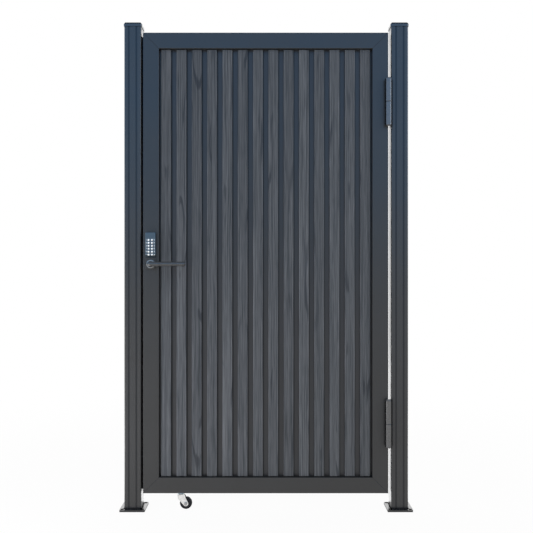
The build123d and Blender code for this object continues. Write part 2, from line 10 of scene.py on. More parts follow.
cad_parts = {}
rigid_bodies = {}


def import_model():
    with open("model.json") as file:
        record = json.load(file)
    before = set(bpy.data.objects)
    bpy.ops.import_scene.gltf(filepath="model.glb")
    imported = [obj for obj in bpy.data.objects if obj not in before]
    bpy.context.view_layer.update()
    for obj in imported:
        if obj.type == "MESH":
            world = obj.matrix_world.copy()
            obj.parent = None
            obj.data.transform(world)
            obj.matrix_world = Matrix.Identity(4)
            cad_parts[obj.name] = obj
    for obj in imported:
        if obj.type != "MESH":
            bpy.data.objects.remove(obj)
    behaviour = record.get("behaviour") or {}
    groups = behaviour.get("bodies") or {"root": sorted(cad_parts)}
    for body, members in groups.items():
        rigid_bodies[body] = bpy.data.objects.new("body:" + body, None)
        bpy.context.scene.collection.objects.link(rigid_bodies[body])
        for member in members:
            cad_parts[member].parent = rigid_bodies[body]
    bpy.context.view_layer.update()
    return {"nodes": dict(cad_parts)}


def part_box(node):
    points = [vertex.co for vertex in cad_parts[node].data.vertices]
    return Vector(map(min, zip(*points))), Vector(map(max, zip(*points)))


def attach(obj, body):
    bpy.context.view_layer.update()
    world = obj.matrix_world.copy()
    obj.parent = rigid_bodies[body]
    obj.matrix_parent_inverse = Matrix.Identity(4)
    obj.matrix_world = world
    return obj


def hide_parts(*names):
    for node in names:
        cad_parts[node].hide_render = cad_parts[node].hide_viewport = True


for leftover in list(bpy.data.objects):
    bpy.data.objects.remove(leftover)

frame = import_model()
nodes = frame["nodes"]

# Sizes that the boxes of the frame's nodes don't show
RING_MIDDLE = 0.0150
RING_HALF = 0.0024
GROOVE_OFFSET = 0.0155
GROOVE_HALF = 0.0035
HOLE_OFFSET = 0.041
HOLE_RADIUS = 0.0055
HINGE_PLATE = 0.003
INSIDE_PLATE = 0.006
BUTTON_ROWS = 6
BUTTON_RADIUS = 0.004

# Measures of the frame that the finishes and small pieces follow
leaf_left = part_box("latch_stile")[0].x
leaf_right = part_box("hinge_stile")[1].x
leaf_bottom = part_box("bottom_rail")[0].z
leaf_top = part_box("top_rail")[1].z
leaf_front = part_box("latch_stile")[0].y
leaf_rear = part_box("latch_stile")[1].y
leaf_mid = (leaf_front + leaf_rear) / 2
slat_names = sorted(name for name in nodes if name.startswith("slat_"))
slat_low, slat_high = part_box(slat_names[0])
slat_centre = (slat_low.x + slat_high.x) / 2
slat_half = (slat_high.x - slat_low.x) / 2
slat_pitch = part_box(slat_names[1])[0].x - slat_low.x
post_low, post_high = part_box("hinge_post")
post_half = (post_high.x - post_low.x) / 2
post_centres = [sum(corner.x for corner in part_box(name)) / 2
                for name in ("hinge_post", "latch_post")]
gate_middle = sum(post_centres) / 2
foot_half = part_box("hinge_post_base")[1].x
foot_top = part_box("hinge_post_base")[1].z
pin_low, pin_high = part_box("lower_hinge_pin")
barrel_middle = (pin_low.x + pin_high.x) / 2
barrel_half = barrel_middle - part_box("lower_hinge_post_half")[0].x
barrel_depth = (pin_low.y + pin_high.y) / 2

EYE = Vector((-0.5458, -2.969, 1.000))
LENS = 48.40
SENSOR_WIDTH = 36.0

# Places of the colour sockets among all those of a mix node
MIX_FACTOR, MIX_FIRST, MIX_SECOND, MIX_RESULT = 0, 6, 7, 2

# Where most of a noise's values lie, for roughness and for tone
NOISE_RANGE = (0.3, 0.7)
TONE_RANGE = (0.32, 0.68)


class Wire:
    """One output of a node. Sums and products of it add the nodes that they need."""

    def __init__(self, tree, socket):
        self.tree = tree
        self.socket = socket

    def __add__(self, other):
        return self.tree.math("ADD", self, other)

    def __sub__(self, other):
        return self.tree.math("SUBTRACT", self, other)

    def __rsub__(self, other):
        return self.tree.math("SUBTRACT", other, self)

    def __mul__(self, other):
        return self.tree.math("MULTIPLY", self, other)

    def __truediv__(self, other):
        return self.tree.math("DIVIDE", self, other)

    def __abs__(self):
        return self.tree.math("ABSOLUTE", self)


class Tree:
    """One node tree, with short calls for the nodes it is made of."""

    def __init__(self, owner):
        owner.use_nodes = True
        self.tree = owner.node_tree

    def feed(self, socket, value):
        """Links a wire to a socket, or sets a number or a colour on it."""
        if isinstance(value, Wire):
            self.tree.links.new(value.socket, socket)
        elif hasattr(socket.default_value, "__len__") and len(value) < len(socket.default_value):
            socket.default_value = (*value, 1.0)
        else:
            socket.default_value = value

    def add(self, kind, inputs=None, **settings):
        """Adds a node, makes its settings and feeds its inputs."""
        node = self.tree.nodes.new(kind)
        for key, value in settings.items():
            setattr(node, key, value)
        for key, value in (inputs or {}).items():
            self.feed(node.inputs[key], value)
        return node

    def wire(self, kind, inputs=None, output=0, **settings):
        """Adds a node and takes one of its outputs."""
        return Wire(self, self.add(kind, inputs, **settings).outputs[output])

    def object_place(self):
        return self.wire("ShaderNodeTexCoord", output="Object")

    def math(self, operation, *values):
        return self.wire("ShaderNodeMath", dict(enumerate(values)), operation=operation)

    def reach(self, first, second):
        """Straight distance over two lengths at right angles."""
        return self.math("SQRT", first * first + second * second)

    def axes(self, vector):
        node = self.add("ShaderNodeSeparateXYZ", {"Vector": vector})
        return [Wire(self, socket) for socket in node.outputs]

    def vector(self, x, y, z):
        return self.wire("ShaderNodeCombineXYZ", {"X": x, "Y": y, "Z": z})

    def noise(self, vector, scale, detail=2.0, roughness=0.5):
        inputs = {"Vector": vector, "Scale": scale, "Detail": detail, "Roughness": roughness}
        return self.wire("ShaderNodeTexNoise", inputs, "Fac")

    def drawn_noise(self, x, y, z, detail=2.0, roughness=0.5):
        """Noise over three scaled lengths."""
        return self.noise(self.vector(x, y, z), 1.0, detail, roughness)

    def span(self, value, low, high, to_low=0.0, to_high=1.0, smooth=False):
        """Maps a value's range to another, held at its ends."""
        kind = "SMOOTHSTEP" if smooth else "LINEAR"
        inputs = {"Value": value, "From Min": low, "From Max": high}
        inputs.update({"To Min": to_low, "To Max": to_high})
        return self.wire("ShaderNodeMapRange", inputs, "Result", interpolation_type=kind)

    def fade(self, value, edge, line, smooth=False):
        """One as far as a line's first reach past an edge, and nought from its second on."""
        return self.span(value, edge + line[0], edge + line[1], 1.0, 0.0, smooth)

    def mix(self, factor, first, second, blend="MIX"):
        inputs = {MIX_FACTOR: factor, MIX_FIRST: first, MIX_SECOND: second}
        settings = {"data_type": "RGBA", "blend_type": blend, "clamp_result": False}
        return self.wire("ShaderNodeMix", inputs, MIX_RESULT, **settings)


# How dust changes a coat: its roughness there, the gloss it loses and the least that stays
DUST_ROUGHNESS = 0.9
DUST_GLOSS_LOSS = 0.4
LEAST_GLOSS = 0.05


class Finish(Tree):
    """One procedural material round a single shader."""

    def __init__(self, name, **sockets):
        self.material = bpy.data.materials.new(name)
        super().__init__(self.material)
        self.shader = self.tree.nodes["Principled BSDF"]
        for socket, value in sockets.items():
            self.set(socket.replace("_", " "), value)
        self.place = self.object_place()

    def set(self, socket, value):
        """Puts a value or a wire on the shader."""
        self.feed(self.shader.inputs[socket], value)

    def paint(self, colour):
        """Sets the colour, and keeps it for what is painted over it."""
        self.colour = colour
        self.set("Base Color", colour)

    def roughen(self, noise, middle, swing):
        """Sets a roughness that swings about its middle with a noise, and keeps it."""
        self.rough = self.span(noise, *NOISE_RANGE, middle - swing, middle + swing)
        self.set("Roughness", self.rough)

    def darken_joint_and_shade(self, mask, colour, unmarked_gloss, marked_gloss):
        """Paints a colour over the first where the mask is one, for dark joints and for painted
        shade, and changes the gloss there.
        """
        self.set("Base Color", self.mix(mask, self.colour, colour))
        gloss = self.span(mask, 0.0, 1.0, unmarked_gloss, marked_gloss)
        self.set("Specular IOR Level", gloss)
        return gloss

    def dull(self, dust_and_shade):
        """Roughens the surface where the dust mask is one."""
        self.set("Roughness", self.math("MAXIMUM", self.rough, dust_and_shade * DUST_ROUGHNESS))

    def bump(self, height, distance):
        bump = self.wire("ShaderNodeBump", {"Height": height, "Distance": distance}, "Normal")
        self.set("Normal", bump)

    def dress(self, *names):
        """Puts the material on nodes of the frame."""
        for name in names:
            mesh = nodes[name].data
            mesh.materials.clear()
            mesh.materials.append(self.material)


# Masks that paint a finish by place or by the way a face looks: a dark joint, dust and
# painted shade. A line has two reaches past the edge it follows: it is full as far as the
# first and gone from the second on.
MITRE_LINE = (0.0006, 0.0015)
FOOT_LINE = (0.003, 0.009)
HOLE_RIM = (0.0022, 0.0030)
POST_LINE = (0.002, 0.006)
SLAT_LINE = (0.002, 0.006)
GROOVE_FLOOR = (0.8 * GROOVE_HALF, 1.05 * GROOVE_HALF)
POST_SKIN = 0.003  # depth of a post's face that its grooves are painted in
UPWARD_TILT = (0.25, 0.55)  # upward part of the normal at which dust begins and is full

# Shares of a hinge barrel's radius at which the painted shade on its flanks begins, and how far
# back it goes
LEAF_FLANK = (-0.88, -0.78)
POST_FLANK = (0.52, 0.62)
FLANK_REAR = 0.9


def dust_and_shade_top(coat):
    """One on faces that look up, where dust dulls the gloss and, on the caps, painted shade darkens
    the colour; nought elsewhere.
    """
    _, _, upward = coat.axes(coat.wire("ShaderNodeNewGeometry", output="Normal"))
    return coat.span(upward, *UPWARD_TILT)


def mitre_gap(coat):
    """One at the leaf's four mitres and nought elsewhere."""
    x, _, z = coat.axes(coat.place)
    from_side = coat.math("MINIMUM", x - leaf_left, leaf_right - x)
    from_end = coat.math("MINIMUM", z - leaf_bottom, leaf_top - z)
    return coat.fade(abs(from_side - from_end), 0.0, MITRE_LINE, smooth=True)


def beside_post(coat, x):
    """How far a place lies to the side of the nearer post's centre."""
    return coat.math("MINIMUM", *(abs(x - centre) for centre in post_centres))


def post_groove(coat):
    """One on the floors of the posts' shallow grooves, which carry painted shade, and nought
    elsewhere.
    """
    x, y, _ = coat.axes(coat.place)
    apart = abs(beside_post(coat, x) - GROOVE_OFFSET)
    at_face = coat.math("GREATER_THAN", abs(y), post_half - POST_SKIN)
    return coat.fade(apart, 0.0, GROOVE_FLOOR, smooth=True) * at_face


def post_foot(coat):
    """One in the painted shade line where a post meets its foot plate, and nought above it."""
    _, _, z = coat.axes(coat.place)
    return coat.fade(z, foot_top, FOOT_LINE)


def foot_hole_shade(coat):
    """One in and round a foot plate's bolt holes and in the line round the post, for painted shade,
    else nought.
    """
    x, y, _ = coat.axes(coat.place)
    aside = beside_post(coat, x)
    deep = abs(y)
    away = coat.reach(aside - HOLE_OFFSET, deep - HOLE_OFFSET)
    hole = coat.fade(away, HOLE_RADIUS, HOLE_RIM)
    line = coat.fade(coat.math("MAXIMUM", aside, deep), post_half, POST_LINE)
    return coat.math("MAXIMUM", hole, line)


def slat_shade(coat):
    """One on the sheet along each slat's right foot, where the slat's painted shadow lies, and
    nought elsewhere.
    """
    x, _, _ = coat.axes(coat.place)
    from_foot = coat.math("FLOORED_MODULO", x - (slat_centre + slat_half), slat_pitch)
    return coat.fade(from_foot, 0.0, SLAT_LINE)


def barrel_sides(coat):
    """One on the hinge barrels' flanks beside leaf and post, which carry painted shade, and nought
    on their fronts.
    """
    x, y, _ = coat.axes(coat.place)
    aside = (x - barrel_middle) / barrel_half
    by_leaf = coat.fade(aside, 0.0, LEAF_FLANK, smooth=True)
    by_post = coat.span(aside, *POST_FLANK, smooth=True)
    on_barrel = coat.math("LESS_THAN", y, barrel_depth + FLANK_REAR * barrel_half)
    return coat.math("MAXIMUM", by_leaf, by_post) * on_barrel


# Powder coats. Scales of noise are in waves a metre, reliefs in metres.
COAT_IOR = 1.5
COAT_CLOUD_SCALE = 5.0
COAT_GRAIN_SCALE = 1400.0
COAT_PEEL_SCALE = 620.0
COAT_CLOUD_SHARE, COAT_GRAIN_SHARE = 0.6, 0.4
COAT_GRAIN_HEIGHT = 0.35
COAT_RELIEF = 0.00009
SEAM_DEPTH = 3.0
ANTHRACITE = {"dark": (0.0208, 0.0201, 0.0192), "light": (0.0254, 0.0245, 0.0234)}


def powder_coat(name, dark, light, rough):
    """Fine-textured powder coat: cloudy tone, tiny grains and an orange-peel surface."""
    coat = Finish(name, IOR=COAT_IOR)
    cloud = coat.noise(coat.place, COAT_CLOUD_SCALE, detail=3.0)
    grain = coat.noise(coat.place, COAT_GRAIN_SCALE)
    tone = cloud * COAT_CLOUD_SHARE + grain * COAT_GRAIN_SHARE
    coat.paint(coat.mix(coat.span(tone, *NOISE_RANGE), dark, light))
    coat.roughen(cloud, rough, swing=0.03)
    coat.height = grain * COAT_GRAIN_HEIGHT + coat.noise(coat.place, COAT_PEEL_SCALE)
    coat.bump(coat.height, COAT_RELIEF)
    return coat


def dress_coated():
    """Coats the leaf's frame, the posts with their caps and feet, and the sheet."""
    coat = powder_coat("anthracite_frame", rough=0.37, **ANTHRACITE)
    seam, dust_and_shade = mitre_gap(coat), dust_and_shade_top(coat)
    gloss = coat.darken_joint_and_shade(seam, (0.010, 0.010, 0.011), unmarked_gloss=0.5, marked_gloss=0.30)
    gloss = coat.math("MAXIMUM", gloss - dust_and_shade * DUST_GLOSS_LOSS, LEAST_GLOSS)
    coat.set("Specular IOR Level", gloss)
    coat.dull(dust_and_shade)
    coat.bump(coat.height - seam * SEAM_DEPTH, COAT_RELIEF)
    coat.dress("latch_stile", "hinge_stile", "top_rail", "bottom_rail")

    coat = powder_coat("anthracite_post", rough=0.37, **ANTHRACITE)
    # The floors of the grooves and the posts' feet are darkened: painted shade.
    shade = coat.math("MAXIMUM", post_groove(coat), post_foot(coat))
    coat.darken_joint_and_shade(shade, (0.006, 0.006, 0.007), unmarked_gloss=0.58, marked_gloss=0.45)
    coat.dress("hinge_post", "latch_post")

    coat = powder_coat("anthracite_cap", rough=0.34, **ANTHRACITE)
    dust_and_shade = dust_and_shade_top(coat)
    # The caps' upward faces are painted darker: painted shade that stands in for a dark reflection
    # of the sky. The lost gloss and the roughness there are dust.
    coat.darken_joint_and_shade(dust_and_shade, (0.010, 0.011, 0.013), unmarked_gloss=0.68, marked_gloss=0.12)
    coat.dull(dust_and_shade)
    coat.dress("hinge_post_cap", "latch_post_cap", "latch_stop")

    coat = powder_coat("anthracite_foot", (0.010, 0.010, 0.011), (0.014, 0.014, 0.015), rough=0.24)
    # The bolt holes, the rims round them and the line round each post are darkened: painted shade.
    coat.darken_joint_and_shade(foot_hole_shade(coat), (0.001, 0.001, 0.001), unmarked_gloss=0.5, marked_gloss=0.0)
    coat.dress("hinge_post_base", "latch_post_base")

    dark, light = (0.0335, 0.0322, 0.0335), (0.0405, 0.0392, 0.0408)
    coat = powder_coat("sheet_coat", dark, light, rough=0.40)
    # Along each slat's right foot the sheet is darkened: painted shadow from the slat.
    coat.darken_joint_and_shade(slat_shade(coat), (0.014, 0.014, 0.014), unmarked_gloss=0.44, marked_gloss=0.28)
    coat.dress("backing_sheet")


# Wood composite. The seeds set the tone of each board and part the two faces' boards, and
# the stagger shifts each board's grain along it.
BOARD_TONE_SEED = 9550.0
BACK_SEED = 31.0
BOARD_STAGGER = 7.31
SWAY_SCALE, SWAY_REACH = 2.2, 0.016
HEART_REACH = 0.020
DEPTH_PLACE, DEPTH_SCALE, DEPTH_REACH = 3.7, 1.5, 0.085
RINGS_A_METRE = 72.0
RING_RAGGED = 0.30
RING_CREST = (0.55, 0.95)
RING_PATCHES = (0.52, 0.62)
RING_STRENGTH = 0.75
BAND_SHARE, STREAK_SHARE, DASH_SHARE, FIBRE_SHARE = 0.15, 0.45, 0.30, 0.10
GRAIN_RANGE = (0.37, 0.63)
WOOD_DARK = (0.029, 0.0322, 0.0352)
WOOD_LIGHT = (0.117, 0.121, 0.129)
WOOD_RING = (0.022, 0.024, 0.028)
BOARD_TONES = (0.88, 1.135)
CLOUD_TONE = 0.16
LEFT_HIGHLIGHT, LEFT_REACH = 0.28, (0.0015, 0.0045)
RIGHT_HIGHLIGHT, RIGHT_REACH = 0.10, (0.0040, 0.0015)
WOOD_GLOSS = 0.28
WOOD_ROUGHNESS = (0.62, 0.52)
WOOD_RELIEF = 0.00040
RING_SUNK = 0.5


def wood_composite():
    """Embossed wood grain: streaks, arched growth rings and a tone of its own for each board."""
    wood = Finish("slat_composite", IOR=COAT_IOR, Specular_IOR_Level=WOOD_GLOSS)
    x, y, z = wood.axes(wood.place)
    board = wood.math("FLOOR", (x - (slat_centre - slat_pitch / 2)) / slat_pitch)
    across = x - (board * slat_pitch + slat_centre)
    seed = board + wood.math("GREATER_THAN", y, leaf_mid) * BACK_SEED
    along = z + seed * BOARD_STAGGER

    def chance(number):
        return wood.wire("ShaderNodeTexWhiteNoise", {"W": number}, "Value", noise_dimensions="1D")

    def strands(aside, wide, long, detail=2.0, roughness=0.5):
        """Noise drawn out along the board, in waves a metre across it and along it."""
        return wood.drawn_noise(aside * wide, seed, along * long, detail, roughness)

    # Grain lines drift slowly from side to side up the board
    sway = wood.noise(wood.vector(0.0, 0.0, along), SWAY_SCALE)
    swayed = across + (sway - 0.5) * SWAY_REACH

    # Growth rings cut at a slant arch up the middle of the board
    offset = swayed - (chance(seed) - 0.5) * HEART_REACH
    depth = wood.noise(wood.vector(DEPTH_PLACE, 0.0, along), DEPTH_SCALE, detail=1.0)
    ragged = strands(across, wide=240.0, long=8.0)
    ring = wood.reach(offset, depth * DEPTH_REACH) * RINGS_A_METRE + ragged * RING_RAGGED
    rings = wood.span(wood.math("SINE", ring * (2 * math.pi)), *RING_CREST, smooth=True)
    rings = rings * wood.span(strands(across, wide=40.0, long=2.4), *RING_PATCHES)

    band = strands(swayed, wide=110.0, long=3.0, detail=1.0)
    streak = strands(swayed, wide=260.0, long=1.4, detail=1.0, roughness=0.6)
    dash = strands(swayed, wide=420.0, long=10.0, detail=1.0, roughness=0.6)
    fibre = strands(swayed, wide=1900.0, long=30.0, detail=3.0, roughness=0.6)
    coarse = band * BAND_SHARE + streak * STREAK_SHARE
    grain = coarse + (dash * DASH_SHARE + fibre * FIBRE_SHARE)
    colour = wood.mix(wood.span(grain, *GRAIN_RANGE), WOOD_DARK, WOOD_LIGHT)
    colour = wood.mix(rings * RING_STRENGTH, colour, WOOD_RING)

    # Each board has a tone and clouds in it, and its edges are lighter, the left more than the
    # right, as a painted highlight
    tone = wood.span(chance(seed + BOARD_TONE_SEED), 0.0, 1.0, *BOARD_TONES)
    tone = tone + (strands(across, wide=18.0, long=2.0) - 0.5) * CLOUD_TONE
    left_edge = wood.span(across, *(reach - slat_half for reach in LEFT_REACH), LEFT_HIGHLIGHT, 0.0)
    right_edge = wood.span(across, *(slat_half - reach for reach in RIGHT_REACH), 0.0, RIGHT_HIGHLIGHT)
    tone = tone + (left_edge + right_edge)
    wood.paint(wood.mix(1.0, colour, wood.vector(tone, tone, tone), "MULTIPLY"))
    wood.set("Roughness", wood.span(grain, *NOISE_RANGE, *WOOD_ROUGHNESS))
    wood.bump(grain - rings * RING_SUNK, WOOD_RELIEF)
    return wood


# Coated, bare and plated metal
FLECK_SCALE = 2600.0
FLECK_SHARE, SPRAY_CLOUD_SHARE = 0.6, 0.4
SPRAY_CLOUD_SCALE = 30.0
FLECK_RELIEF = 0.00002
WEAR_CLOUD_SCALE = 90.0
SCRATCH_RELIEF = 0.00003


def coated_metal(name, dark, light, rough, metallic):
    """Smooth sprayed coat with a faint metal fleck."""
    coat = Finish(name, Metallic=metallic, IOR=COAT_IOR)
    fleck = coat.noise(coat.place, FLECK_SCALE, detail=1.0)
    cloud = coat.noise(coat.place, SPRAY_CLOUD_SCALE)
    tone = fleck * FLECK_SHARE + cloud * SPRAY_CLOUD_SHARE
    coat.paint(coat.mix(coat.span(tone, *TONE_RANGE), dark, light))
    coat.roughen(cloud, rough, swing=0.04)
    coat.bump(fleck, FLECK_RELIEF)
    return coat


def ringed_plate():
    """Dark coat for the lock's plates, with the rose's raised ring polished round the lever."""
    lever_low, lever_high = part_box("spindle")
    lever_axis = (lever_low + lever_high) / 2
    coat = Finish("plate_coat", IOR=COAT_IOR)
    x, _, z = coat.axes(coat.place)
    away = coat.reach(x - lever_axis.x, z - lever_axis.z)
    ring = coat.math("COMPARE", away, RING_MIDDLE, RING_HALF)
    fleck = coat.noise(coat.place, FLECK_SCALE, detail=1.0)
    dark, light, polished = (0.024, 0.024, 0.024), (0.034, 0.034, 0.034), (0.24, 0.24, 0.235)
    coat.paint(coat.mix(ring, coat.mix(coat.span(fleck, *TONE_RANGE), dark, light), polished))
    coat.set("Metallic", coat.span(ring, 0.0, 1.0, to_low=0.20))
    coat.roughen(fleck, middle=0.29, swing=0.03)
    coat.bump(fleck, FLECK_RELIEF)
    return coat


def worn_metal(name, dark, light, rough, stretch, metallic=1.0):
    """Bare or plated metal: cloudy tone and fine scratches, drawn out by an uneven stretch."""
    metal = Finish(name, Metallic=metallic)
    drawn = (axis * scale for axis, scale in zip(metal.axes(metal.place), stretch))
    scratch = metal.drawn_noise(*drawn, detail=3.0, roughness=0.6)
    cloud = metal.noise(metal.place, WEAR_CLOUD_SCALE, detail=3.0)
    metal.paint(metal.mix(metal.span(cloud, *TONE_RANGE), dark, light))
    metal.roughen(scratch, rough, swing=0.07)
    metal.bump(scratch, SCRATCH_RELIEF)
    return metal


def dress_metal():
    """Finishes the hinges, the lock and the castor's metal."""
    dark, light = (0.108, 0.107, 0.106), (0.122, 0.121, 0.120)
    hinge = coated_metal("hinge_coat", dark, light, rough=0.27, metallic=0.40)
    # The barrels' flanks beside leaf and post are darkened: painted shade.
    hinge.darken_joint_and_shade(barrel_sides(hinge), (0.004, 0.004, 0.005), unmarked_gloss=0.5, marked_gloss=0.05)
    hinge.dress(*(name for name in nodes if name.endswith("_half")))
    dark, light = (0.060, 0.060, 0.060), (0.076, 0.075, 0.074)
    lever = coated_metal("lock_coat", dark, light, rough=0.28, metallic=0.50)
    lever.dress("outer_lever", "inside_lever")
    dark, light = (0.060, 0.084, 0.102), (0.082, 0.110, 0.130)
    keypad = coated_metal("keypad_coat", dark, light, rough=0.34, metallic=0.65)
    keypad.dress("keypad_body")
    ringed_plate().dress("handle_plate", "inside_plate")

    dark, light = (0.62, 0.61, 0.59), (0.88, 0.865, 0.84)
    zinc = worn_metal("zinc_plate", dark, light, rough=0.33, stretch=(700.0, 700.0, 700.0))
    zinc.dress("castor_fork")
    # The blue tint of this zinc is a painted reflection of the sky.
    dark, light = (0.40, 0.50, 0.58), (0.56, 0.68, 0.77)
    sky_tinted_zinc = worn_metal("sky_tinted_zinc", dark, light, rough=0.30, stretch=(700.0, 700.0, 700.0))
    sky_tinted_zinc.dress("castor_head")
    dark, light = (0.26, 0.255, 0.25), (0.46, 0.455, 0.45)
    dull_zinc = worn_metal("dull_zinc", dark, light, rough=0.30, stretch=(900.0, 900.0, 900.0))
    dull_zinc.dress("castor_axle")


# Moulded plastic and rubber
MOULDED_IOR = 1.48
MOULDED_GLOSS = 0.22
MOULDED_CLOUD_SCALE = 120.0
MOULDED_TONE_RANGE = (0.35, 0.7)


def moulded(name, dark, light, rough, skin_scale, relief):
    """Moulded plastic or rubber with a fine skin and dusty tone."""
    plastic = Finish(name, IOR=MOULDED_IOR, Specular_IOR_Level=MOULDED_GLOSS)
    cloud = plastic.noise(plastic.place, MOULDED_CLOUD_SCALE, detail=3.0)
    skin = plastic.noise(plastic.place, skin_scale)
    plastic.paint(plastic.mix(plastic.span(cloud, *MOULDED_TONE_RANGE), dark, light))
    plastic.roughen(skin, rough, swing=0.06)
    plastic.bump(skin, relief)
    return plastic


def dress_wheel():
    """Finishes the castor's hub and tyre."""
    dark, light = (0.010, 0.010, 0.012), (0.018, 0.018, 0.020)
    hub = moulded("hub_plastic", dark, light, rough=0.38, skin_scale=1500.0, relief=0.00003)
    hub.dress("castor_hub")
    dark, light = (0.004, 0.004, 0.005), (0.009, 0.009, 0.011)
    tyre = moulded("tyre_rubber", dark, light, rough=0.55, skin_scale=2200.0, relief=0.00006)
    tyre.dress("castor_tyre")


dress_coated()
wood_composite().dress(*slat_names)
dress_metal()
dress_wheel()

# Finishes that small pieces share with nodes of the frame
STEEL_TONES = {"dark": (0.46, 0.46, 0.47), "light": (0.58, 0.58, 0.59)}
steel = worn_metal("bare_steel", rough=0.32, stretch=(300.0, 4000.0, 300.0), **STEEL_TONES)
steel.dress("spindle", "lock_case", "latch_bolt")
# The dark tone of the hinge pins' collars, the strike plate and its screws is painted shade for the
# hinge seams and the latch gap.
SHADE_DARK_TONES = {"dark": (0.030, 0.030, 0.032), "light": (0.060, 0.060, 0.062)}
shade_dark_steel = worn_metal("shade_dark_steel", rough=0.30, stretch=(900.0, 900.0, 300.0), **SHADE_DARK_TONES)
shade_dark_steel.dress("lower_hinge_pin", "upper_hinge_pin", "strike_plate")
CHROME = {"dark": (0.86, 0.85, 0.82), "light": (0.94, 0.93, 0.90), "metallic": 0.25}
chrome = worn_metal("button_chrome", rough=0.30, stretch=(900.0, 900.0, 900.0), **CHROME)

# Small pieces that the frame leaves plain
ROUND_STEPS = 28
SHARP_ANGLE = math.radians(35)
FACING_OUT = Matrix.Rotation(math.pi / 2, 4, "X")
FACING_IN = Matrix.Rotation(-math.pi / 2, 4, "X")
FACING_LATCH = Matrix.Rotation(-math.pi / 2, 4, "Y")
FACING_HINGE = Matrix.Rotation(math.pi / 2, 4, "Y")


def lathe(shape, profile, place):
    """Adds a turned form: profile holds (radius, height) pairs from the axis out and back to it."""
    rings = []
    for radius, height in profile:
        count = ROUND_STEPS if radius > 0 else 1
        turns = [2 * math.pi * step / count for step in range(count)]
        points = [Vector((radius * math.cos(turn), radius * math.sin(turn), height))
                  for turn in turns]
        rings.append([shape.verts.new(place @ point) for point in points])
    for low, high in zip(rings, rings[1:]):
        for step in range(ROUND_STEPS):
            near = (low[step % len(low)], high[step % len(high)])
            far = (low[(step + 1) % len(low)], high[(step + 1) % len(high)])
            shape.faces.new(tuple(dict.fromkeys((near[0], far[0], far[1], near[1]))))


def add_piece(name, shape, finish, body):
    """Makes a mesh of its own that rides a body."""
    bmesh.ops.recalc_face_normals(shape, faces=shape.faces[:])
    mesh = bpy.data.meshes.new(name)
    shape.to_mesh(mesh)
    shape.free()
    mesh.shade_smooth()
    mesh.set_sharp_from_angle(angle=SHARP_ANGLE)
    mesh.materials.append(finish.material)
    piece = bpy.data.objects.new(name, mesh)
    bpy.context.scene.collection.objects.link(piece)
    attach(piece, body)
    return piece


# Keypad: two columns of six domed buttons with a figure beside each
DOME_RISE = 0.0012
DOME_STEPS = 6
FIGURE_HEIGHT = 0.0062
FIGURE_SHARE = 0.72  # of the font's size that a figure is high
FIGURE_SIDE = 0.0093
FIGURE_PROUD = 0.0003
FIGURE_SUNK = 0.0025
FIGURE_CURVE_STEPS = 3
FIGURES = (("1", "3", "5", "7", "9", "*"), ("2", "4", "6", "8", "0", "#"))
buttons_low, buttons_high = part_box("keypad_buttons")
button_depth = buttons_high.y - buttons_low.y
button_columns = (buttons_low.x + BUTTON_RADIUS, buttons_high.x - BUTTON_RADIUS)
button_pitch = (buttons_high.z - buttons_low.z - 2 * BUTTON_RADIUS) / (BUTTON_ROWS - 1)
button_rows = [buttons_high.z - BUTTON_RADIUS - row * button_pitch for row in range(BUTTON_ROWS)]
keypad_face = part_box("keypad_body")[0].y


def keypad_buttons():
    """Domed buttons in place of the frame's plain ones."""
    profile = [(0.0, 0.0), (BUTTON_RADIUS, 0.0), (BUTTON_RADIUS, button_depth - DOME_RISE)]
    for step in range(1, DOME_STEPS):
        lean = math.pi / 2 * step / DOME_STEPS
        drop = DOME_RISE * (1 - math.sin(lean))
        profile.append((BUTTON_RADIUS * math.cos(lean), button_depth - drop))
    profile.append((0.0, button_depth))
    shape = bmesh.new()
    for x in button_columns:
        for z in button_rows:
            lathe(shape, profile, Matrix.Translation((x, buttons_high.y, z)) @ FACING_OUT)
    piece = add_piece("domed_buttons", shape, chrome, "leaf")
    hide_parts("keypad_buttons")


def keypad_figures():
    """Figures raised a little from the keypad, on the outer side of each button."""
    shape = bmesh.new()
    middle_y = keypad_face + (FIGURE_SUNK - FIGURE_PROUD) / 2
    for column, x, side in zip(FIGURES, button_columns, (-1, 1)):
        for figure, z in zip(column, button_rows):
            letter = bpy.data.curves.new("figure", "FONT")
            letter.body = figure
            letter.size = FIGURE_HEIGHT / FIGURE_SHARE
            letter.extrude = (FIGURE_PROUD + FIGURE_SUNK) / 2
            letter.resolution_u = FIGURE_CURVE_STEPS
            letter.align_x = "CENTER"
            letter.align_y = "CENTER"
            holder = bpy.data.objects.new("figure", letter)
            mesh = bpy.data.meshes.new_from_object(holder)
            place = Matrix.Translation((x + side * FIGURE_SIDE, middle_y, z))
            mesh.transform(place @ FACING_OUT)
            shape.from_mesh(mesh)
            bpy.data.objects.remove(holder)
            bpy.data.curves.remove(letter)
            bpy.data.meshes.remove(mesh)
    add_piece("keypad_figures", shape, chrome, "leaf")


# Screws. Heights are from the face that a head sits on, shares are of its radius.
HEAD_SUNK = 0.0003
HEAD_PROUD = 0.0009
SHOULDER_SHARE = 0.45  # of the head's height
RIM_SHARE = 0.9
CROSS_ARM, CROSS_HALF = 0.60, 0.15
CROSS_FLOOR = 0.0002
CROSS_TAPER = 0.9
EDGE_SCREW = 0.0038
EDGE_SCREW_INSET = 0.010
PLATE_SCREW = 0.0034
PLATE_SCREW_DROPS = (0.014, 0.080)
HINGE_SCREW = 0.0042
HINGE_SCREW_RISES = (0.02112, 0.07488)  # from the seam between a hinge's halves
HINGE_SCREW_SIDES = (-0.010, 0.006)


